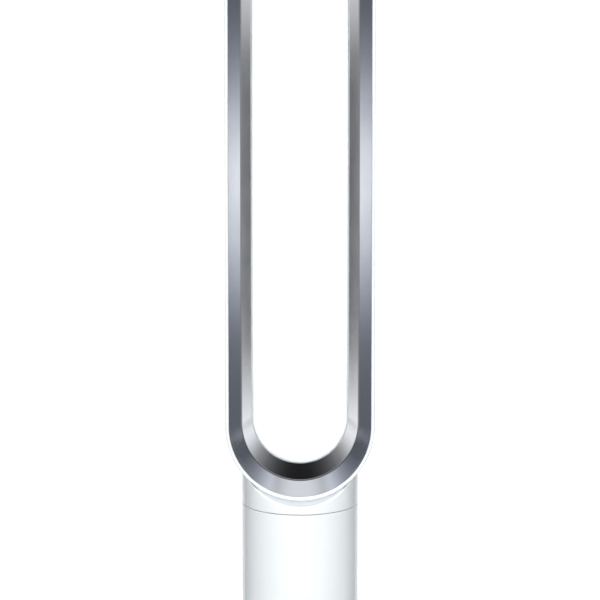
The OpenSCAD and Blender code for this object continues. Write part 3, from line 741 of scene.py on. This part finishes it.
# ---------------------------------------------------------------------------------------------
# Lower casing: a white ABS cup that carries the whole column on its pivot spigot. Its front wall
# has a window for the display and a round hole for the power button.
casing_low, casing_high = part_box("lower_casing")
spigot_len = 9.7 * MM
cup_z = casing_low.z + spigot_len
button_low, button_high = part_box("power_button")
window_low, window_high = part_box("display_window")
pivot_r = 19.95 * MM
spigot_in = 15 * MM
cup_edge = 1 * MM
casing_line = (
    [(spigot_in, casing_low.z), (pivot_r, casing_low.z), (pivot_r, cup_z),
     (column_r - cup_edge, cup_z)]
    + arc(column_r - cup_edge, cup_z + cup_edge, cup_edge, -75, 0, 5)
    + [(column_r, cup_z + 3 * cup_edge), (column_r, casing_high.z - 3 * round_edge)]
    + arc(column_r - round_edge, casing_high.z - round_edge, round_edge, 0, 60, 3)
    + [(column_r - round_edge, casing_high.z), (column_r - neck_wall, casing_high.z),
       (column_r - neck_wall, cup_z + neck_wall), (spigot_in, cup_z + neck_wall)])
casing = lathe("casing_cup", casing_line, white_gloss)


def block(low, high):
    """A box to cut with."""
    shape = bmesh.new()
    bmesh.ops.create_cube(shape, size=1)
    for vert in shape.verts:
        vert.co = [low[i] if vert.co[i] < 0 else high[i] for i in range(3)]
    return cutter(shape)


def cutter(shape):
    """A finished shape as an object to cut with."""
    mesh = bpy.data.meshes.new("cutter")
    shape.to_mesh(mesh)
    shape.free()
    made = bpy.data.objects.new("cutter", mesh)
    bpy.context.scene.collection.objects.link(made)
    return made


def rod(radius, z, y0, y1):
    """A round bar along the depth, on the middle line, to cut with."""
    shape = bmesh.new()
    bmesh.ops.create_cone(shape, cap_ends=True, segments=64,
                          radius1=radius, radius2=radius, depth=1)
    for vert in shape.verts:
        vert.co = (vert.co.x, y0 if vert.co.z < 0 else y1, z + vert.co.y)
    bmesh.ops.recalc_face_normals(shape, faces=shape.faces)
    return cutter(shape)


def cut(made, tool):
    """Takes the cutter's shape out of a piece."""
    modifier = made.modifiers.new("cut", "BOOLEAN")
    modifier.object = tool
    modifier.solver = "EXACT"
    bpy.context.view_layer.update()
    depsgraph = bpy.context.evaluated_depsgraph_get()
    mesh = bpy.data.meshes.new_from_object(made.evaluated_get(depsgraph), depsgraph=depsgraph)
    made.modifiers.remove(modifier)
    made.data = mesh
    bpy.data.objects.remove(tool)
    smooth(made)


lens_play = 0.2 * MM
flange = 1.2 * MM
key_flange = 1.3 * MM
past_front = -0.1
behind_wall = -column_r + 6 * MM
half_w = window_high.x - flange + lens_play
z_mid = (window_low.z + window_high.z) / 2
half_h = (window_high.z - window_low.z) / 2 - flange + lens_play
cut(casing, block((-half_w, past_front, z_mid - half_h), (half_w, behind_wall, z_mid + half_h)))
button_flange = (button_high.x - button_low.x) / 2
button_r = button_flange - key_flange
z_button = (button_low.z + button_high.z) / 2
cut(casing, rod(button_r + lens_play, z_button, past_front, behind_wall))
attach(casing, "column")
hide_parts("lower_casing")


# ---------------------------------------------------------------------------------------------
# Power button: a small round grey ABS key whose face follows the casing's curve, with a soft
# edge and a shallow finger dish, moulded in one with its flange and stem.
key_edge = 0.5 * MM
dish_depth = 0.35 * MM
key_stop = -(column_r - neck_wall - 1.4 * MM)
key_stop_back = key_stop + 1.6 * MM
stem_r = 2.2 * MM
key_sides = 72
key_angles = [2 * math.pi * i / key_sides for i in range(key_sides)]
face_rings = [(button_r * i / 10, 0) for i in range(1, 9)]
face_rings += [(button_r - key_edge + key_edge * math.sin(a), key_edge - key_edge * math.cos(a))
               for a in (math.radians(15 * i) for i in range(2, 7))]
back_rings = [(button_r, key_stop), (button_flange, key_stop), (button_flange, key_stop_back),
              (stem_r, key_stop_back), (stem_r, button_high.y)]
verts = [(0, -column_r + dish_depth, z_button)]
for r, set_back in face_rings:
    dish = dish_depth * max(0, 1 - (r / (0.8 * button_r)) ** 2) ** 2
    for a in key_angles:
        x = r * math.sin(a)
        on_wall = -math.sqrt(column_r ** 2 - x ** 2)
        verts.append((x, on_wall + set_back + dish, z_button - r * math.cos(a)))
for r, y in back_rings:
    verts += [(r * math.sin(a), y, z_button - r * math.cos(a)) for a in key_angles]
faces = [(0, 1 + i, 1 + (i + 1) % key_sides) for i in range(key_sides)]
ring_total = len(face_rings) + len(back_rings)
for k in range(ring_total - 1):
    p, q = 1 + k * key_sides, 1 + (k + 1) * key_sides
    faces += [(p + i, q + i, q + (i + 1) % key_sides, p + (i + 1) % key_sides)
              for i in range(key_sides)]
faces.append([1 + (ring_total - 1) * key_sides + i for i in range(key_sides)])
key_mesh = bpy.data.meshes.new("button_key")
key_mesh.from_pydata(verts, [], faces)
button_key = bpy.data.objects.new("button_key", key_mesh)
bpy.context.scene.collection.objects.link(button_key)
smooth(button_key)
button_key.data.materials.append(white_abs("moulded_grey_abs_key", "#B9BFC3"))
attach(button_key, "button")
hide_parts("power_button")


# ---------------------------------------------------------------------------------------------
# Foot: a broad low white ABS disc with a softly rounded edge, hollow below for its steel ballast
# and open in the middle for the swing gear, with a notch at the rear for the cord's gland.
foot_low, foot_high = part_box("foot_plate")
foot_r = foot_high.x
gland_low, gland_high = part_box("cord_gland")
foot_edge = 4.25 * MM
skirt_edge = 0.6 * MM
bore_r = 20 * MM
bore_z = 6 * MM
hub_r = 27 * MM
well_r = 56 * MM
well_z = 8 * MM
well_wall = 3 * MM
top_wall = 3.5 * MM
crown = foot_high.z
flat_r = column_r + 6 * MM
ease_r = 4 * MM
cover_r = foot_r - 3.8 * MM
cover_z = 3.5 * MM
rim_in_r = foot_r - 8 * MM
rim_in_z = 7 * MM
edge_z = foot_low.z + foot_edge
slope = math.degrees(math.atan2(crown - edge_z - foot_edge, foot_r - foot_edge - flat_r))
foot_line = (
    [(bore_r, bore_z), (bore_r, crown), (hub_r, crown), (hub_r, well_z), (well_r, well_z),
     (well_r, crown), (flat_r - ease_r, crown), (flat_r, crown - 0.15 * MM),
     (flat_r + ease_r, crown - 0.75 * MM)]
    + arc(foot_r - foot_edge, edge_z, foot_edge, 90 - slope, 0, 14)
    + [(foot_r, edge_z - 1.5 * MM)]
    + arc(foot_r - skirt_edge, foot_low.z + skirt_edge, skirt_edge, 0, -90, 4)
    + [(cover_r, foot_low.z), (cover_r, cover_z), (rim_in_r, cover_z), (rim_in_r, rim_in_z),
       (flat_r, crown - top_wall), (well_r + well_wall, crown - top_wall),
       (well_r + well_wall, bore_z)])
foot = lathe("foot_disc", foot_line, white_abs("moulded_white_abs_foot"))
notch_low = (gland_low.x - lens_play, foot_r - 12 * MM, -0.01)
notch_high = (gland_high.x + lens_play, foot_r + 1 * MM, gland_high.z + lens_play)
cut(foot, block(notch_low, notch_high))
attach(foot, "stand")
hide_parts("foot_plate")


# ---------------------------------------------------------------------------------------------
# Silencing ring: a doughnut of open-cell foam, die-cut and pushed into the grille to soak up the
# rush of the intake, with soft corners and a coarse open surface.
foam_low, foam_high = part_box("silencing_foam")
foam_mat, foam_tree, foam_shader = material("open_cell_polyurethane_foam")
cell_size = 1.4286 * MM
cell_depth = 0.8 * MM
cells = add(foam_tree, "ShaderNodeTexVoronoi", None,
            {"Vector": add(foam_tree, "ShaderNodeTexCoord").outputs["Object"],
             "Scale": 1 / cell_size})
# The colour follows the bump: darker at the bottom of each cell where the bump is lowest, as
# painted shade in the pits, and lighter on the ridges.
foam_pit_shade_tone = add(foam_tree, "ShaderNodeMixRGB", None,
                {0: cells.outputs["Distance"], 1: srgb("#2C2E31"), 2: srgb("#5A5D61")})
foam_bump = add(foam_tree, "ShaderNodeBump", None,
                {"Strength": 0.7, "Distance": cell_depth, "Height": cells.outputs["Distance"]})
foam_tree.links.new(foam_pit_shade_tone.outputs[0], foam_shader.inputs["Base Color"])
foam_tree.links.new(foam_bump.outputs[0], foam_shader.inputs["Normal"])
foam_shader.inputs["Roughness"].default_value = 0.95
soft = 2.5 * MM
foam_in, foam_out = 20 * MM, foam_high.x
foam_line = (arc(foam_in + soft, foam_low.z + soft, soft, 180, 270, 5)
             + arc(foam_out - soft, foam_low.z + soft, soft, 270, 360, 5)
             + arc(foam_out - soft, foam_high.z - soft, soft, 0, 90, 5)
             + arc(foam_in + soft, foam_high.z - soft, soft, 90, 180, 5))
foam_ring = lathe("foam_ring", foam_line, foam_mat, 96, 60)
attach(foam_ring, "column")
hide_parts("silencing_foam")


# ---------------------------------------------------------------------------------------------
# Everything else keeps its own exact shape and takes the finish of its real material: satin
# mouldings, acetal gear, zinc plate, pressed steel, rubber, solder mask, enamelled wire, brass.
mottle_size = 16.667 * MM


def satin(name, colour, rough, grain, metallic=0.0, depth=0.2):
    """A mottled, slightly uneven surface; its grain's size and depth are in millimetres."""
    mat, tree, shader = material(name)
    on_piece = add(tree, "ShaderNodeTexCoord").outputs["Object"]
    noise = add(tree, "ShaderNodeTexNoise", None,
                {"Vector": on_piece, "Scale": 1 / (grain * MM), "Detail": 3.0})
    mottle = add(tree, "ShaderNodeTexNoise", None,
                 {"Vector": on_piece, "Scale": 1 / mottle_size, "Detail": 2.0})
    tone = add(tree, "ShaderNodeMixRGB", {"blend_type": "MULTIPLY"},
               {0: 0.12, 1: srgb(colour), 2: mottle.outputs["Color"]})
    gloss = add(tree, "ShaderNodeMapRange", None,
                {0: noise.outputs[0], 3: rough - 0.08, 4: rough + 0.08})
    bump = add(tree, "ShaderNodeBump", None,
               {"Strength": 0.25, "Distance": depth * MM, "Height": noise.outputs[0]})
    tree.links.new(tone.outputs[0], shader.inputs["Base Color"])
    tree.links.new(gloss.outputs[0], shader.inputs["Roughness"])
    tree.links.new(bump.outputs[0], shader.inputs["Normal"])
    shader.inputs["Metallic"].default_value = metallic
    return mat


finishes = {
    "inner_moulding": satin("moulded_grey_polypropylene", "#C3C8CA", 0.45, 1.2),
    "dark_moulding": satin("moulded_black_abs", "#26282B", 0.4, 1.0),
    "smoked_lens": satin("smoked_polycarbonate", "#0E1012", 0.1, 8.0, depth=0.02),
    "seal_rubber": satin("moulded_epdm_rubber", "#2B2C2E", 0.7, 0.8),
    "acetal": satin("moulded_acetal", "#E4E1D6", 0.38, 1.5),
    "plated_steel": satin("zinc_plated_steel", "#B9BCC0", 0.3, 0.9, 1.0),
    "ballast_steel": satin("pressed_steel", "#777A7E", 0.42, 1.1, 1.0),
    "circuit_board": satin("green_solder_mask", "#2C6B45", 0.35, 1.4),
    "winding_copper": satin("enamelled_copper_wire", "#B4652C", 0.3, 0.6, 1.0),
    "impeller_resin": satin("glass_filled_nylon", "#6C7176", 0.5, 0.9),
    "brass_nut": satin("turned_brass", "#C6A35A", 0.28, 0.7, 1.0),
    "white_shell": white_gloss}
gasket_finish = satin("grey_tpe_gasket", "#C4C9CC", 0.6, 0.9)
replaced = {"loop_outer_shell", "loop_front_ring", "loop_inner_casing", "neck", "body_shell",
            "inlet_grille", "lower_casing", "power_button", "foot_plate", "silencing_foam"}
for subpart in frame["record"]["subparts"]:
    if subpart["node"] not in replaced:
        mesh = frame["nodes"][subpart["node"]].data
        mesh.materials.clear()
        mesh.materials.append(finishes[subpart["material_slot"]])
gasket_mesh = frame["nodes"]["saddle_gasket"].data
gasket_mesh.materials[0] = gasket_finish
